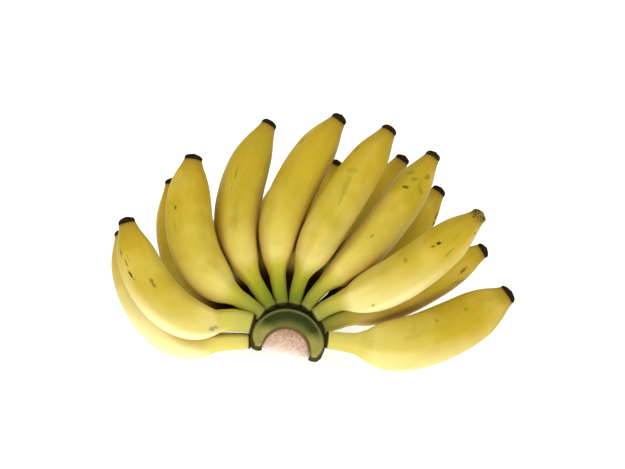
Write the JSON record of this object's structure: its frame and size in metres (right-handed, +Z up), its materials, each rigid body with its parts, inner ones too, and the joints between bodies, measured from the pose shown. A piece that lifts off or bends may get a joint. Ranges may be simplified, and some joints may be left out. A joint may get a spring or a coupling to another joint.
{
  "type": "hand of plantains",
  "caption": "Hand of short, plump yellow plantain fingers in an upper and a lower row on one cut green crown, lying on its lower fingers.",
  "frame": {"origin": "on the surface that the hand lies on, under the middle of its box", "axes": "+X along the long way of the hand, towards the single low finger at the crown's right-hand end; +Y from the cut crown towards the back of the lower row; +Z up"},
  "size_m": [0.273, 0.1762, 0.1293],
  "materials": {
    "peel": "waxy yellow plantain peel",
    "crown": "dull green cushion with a pale fibrous cut"
  },
  "bodies": {
    "root": {"crown": "crown", "upper_finger_1": "peel", "upper_finger_2": "peel", "upper_finger_3": "peel", "upper_finger_4": "peel", "upper_finger_5": "peel", "upper_finger_6": "peel", "upper_finger_7": "peel", "upper_finger_8": "peel", "lower_finger_1": "peel", "lower_finger_2": "peel", "lower_finger_3": "peel", "lower_finger_4": "peel", "lower_finger_5": "peel", "lower_finger_6": "peel", "lower_finger_7": "peel", "lower_finger_8": "peel"}
  },
  "joints": []
}
